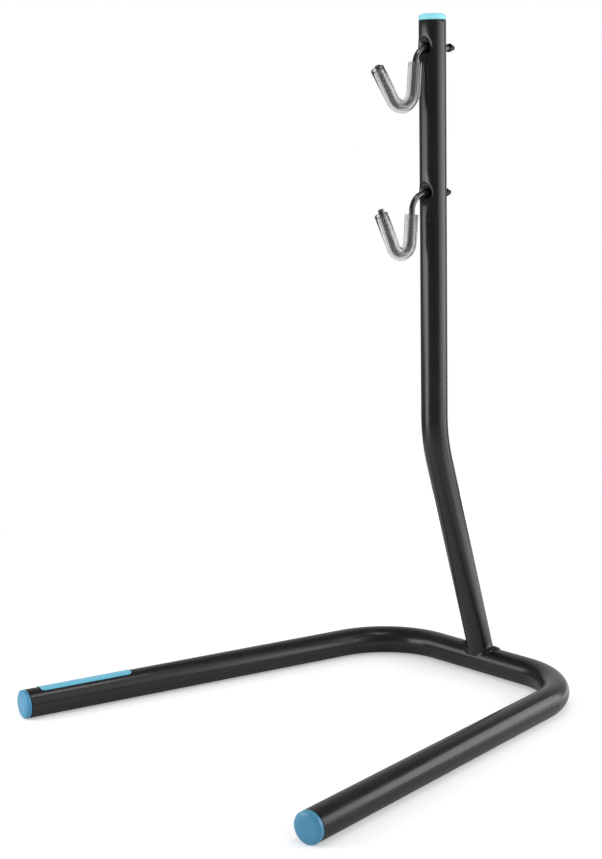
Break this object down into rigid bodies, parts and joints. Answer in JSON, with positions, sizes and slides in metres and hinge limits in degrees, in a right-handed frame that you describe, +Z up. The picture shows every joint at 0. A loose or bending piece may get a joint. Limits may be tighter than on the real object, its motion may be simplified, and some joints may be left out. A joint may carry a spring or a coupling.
{
  "type": "bike display stand",
  "caption": "Floor stand for showing or storing a bicycle: a U-shaped tube base, a leaning post and swivelling rod hooks with clear sleeves that catch the stays of its frame.",
  "frame": {"origin": "on the floor under the middle of the crossbar, between the two bends of the base tube", "axes": "+Z up, -Y from the crossbar towards the open ends of the legs, +X to the right when looking along +Y"},
  "size_m": [0.4748, 0.4769, 0.7105],
  "materials": {
    "black_coat": "semi-gloss black powder coat",
    "rod_black": "glossy black steel rod",
    "nut_black": "black self-locking nut",
    "cap_blue": "satin moulded blue plastic",
    "label_blue": "glossy printed sticker, left plain",
    "sleeve_clear": "clear flexible hose"
  },
  "bodies": {
    "stand": {"base_tube": "black_coat", "upright_post": "black_coat", "foot_weld": "black_coat", "left_leg_cap": "cap_blue", "right_leg_cap": "cap_blue", "post_cap": "cap_blue", "leg_label": "label_blue"},
    "upper_nut": {"upper_hook_nut": "nut_black"},
    "upper_hook": {"upper_hook": "rod_black", "upper_hook_sleeve": "sleeve_clear"},
    "lower_nut": {"lower_hook_nut": "nut_black"},
    "lower_hook": {"lower_hook": "rod_black", "lower_hook_sleeve": "sleeve_clear"}
  },
  "joints": [
    {"name": "upper_hook_slide", "type": "slide", "parent": "stand", "child": "upper_nut", "axis": [0, -1, 0], "range_m": [-0.004, 0.0079]},
    {"name": "upper_hook_swivel", "type": "hinge", "parent": "upper_nut", "child": "upper_hook", "pos_m": [0, -0.07175, 0.6767], "axis": [0, -1, 0], "continuous": true},
    {"name": "lower_hook_slide", "type": "slide", "parent": "stand", "child": "lower_nut", "axis": [0, -1, 0], "range_m": [-0.0099, 0.002]},
    {"name": "lower_hook_swivel", "type": "hinge", "parent": "lower_nut", "child": "lower_hook", "pos_m": [0, -0.07175, 0.5297], "axis": [0, -1, 0], "continuous": true}
  ]
}
